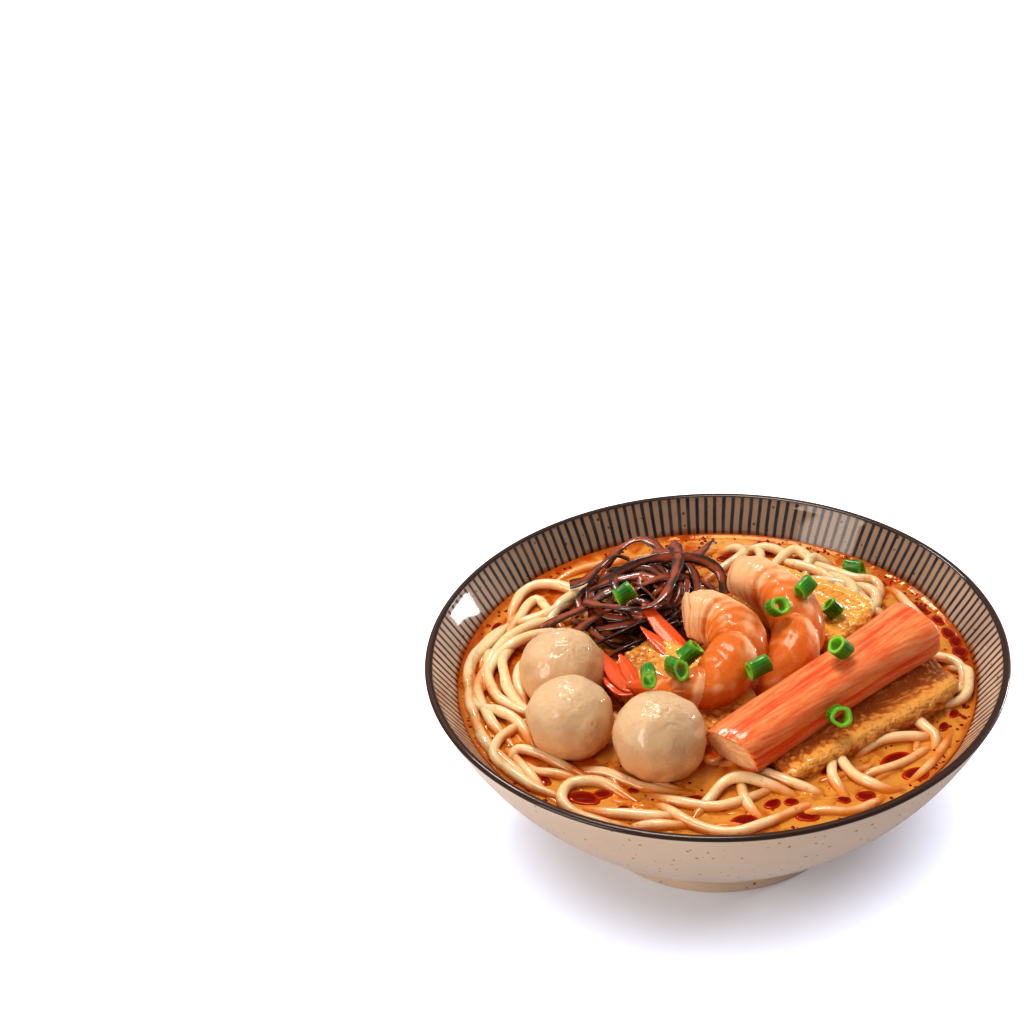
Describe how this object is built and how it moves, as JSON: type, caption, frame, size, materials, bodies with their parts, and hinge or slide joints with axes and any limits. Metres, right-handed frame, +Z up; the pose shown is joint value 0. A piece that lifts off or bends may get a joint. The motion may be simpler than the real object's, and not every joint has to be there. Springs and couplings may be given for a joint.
{
  "type": "bowl of noodle soup",
  "caption": "Wide footed bowl filled with broth and noodles, topped with round balls, curled prawns, a stick, fried slabs, a dark shredded heap and green rings.",
  "frame": {"origin": "centre of the bowl's foot, on the plane it stands on", "axes": "+Z up along the bowl's axis; -Y is the eater's side, where the broth lies open; +X to the eater's right"},
  "size_m": [0.2, 0.2, 0.0891],
  "materials": {
    "stoneware": "speckled beige glaze, dark painted stripes inside, brown lip",
    "broth": "opaque orange coconut broth with an oily gloss",
    "noodles": "wet, smooth, pale wheat noodles",
    "fish_paste": "smooth springy fish paste, moist",
    "crab_stick": "moist grooved strands with an orange-red skin",
    "prawn": "cooked prawn flesh, orange bands over white, moist",
    "fried_tofu": "golden brown blistered crust",
    "wood_ear": "dark brown, wet and glossy",
    "spring_onion": "fresh green leaf"
  },
  "bodies": {
    "root": {"bowl": "stoneware", "broth": "broth", "noodles": "noodles", "fish_ball_1": "fish_paste", "fish_ball_2": "fish_paste", "fish_ball_3": "fish_paste", "crab_stick": "crab_stick", "prawn_1": "prawn", "prawn_2": "prawn", "fried_tofu_1": "fried_tofu", "fried_tofu_2": "fried_tofu", "fried_tofu_3": "fried_tofu", "wood_ear": "wood_ear", "spring_onion_1": "spring_onion", "spring_onion_2": "spring_onion", "spring_onion_3": "spring_onion", "spring_onion_4": "spring_onion", "spring_onion_5": "spring_onion", "spring_onion_6": "spring_onion", "spring_onion_7": "spring_onion", "spring_onion_8": "spring_onion", "spring_onion_9": "spring_onion", "spring_onion_10": "spring_onion", "spring_onion_11": "spring_onion"}
  },
  "joints": []
}
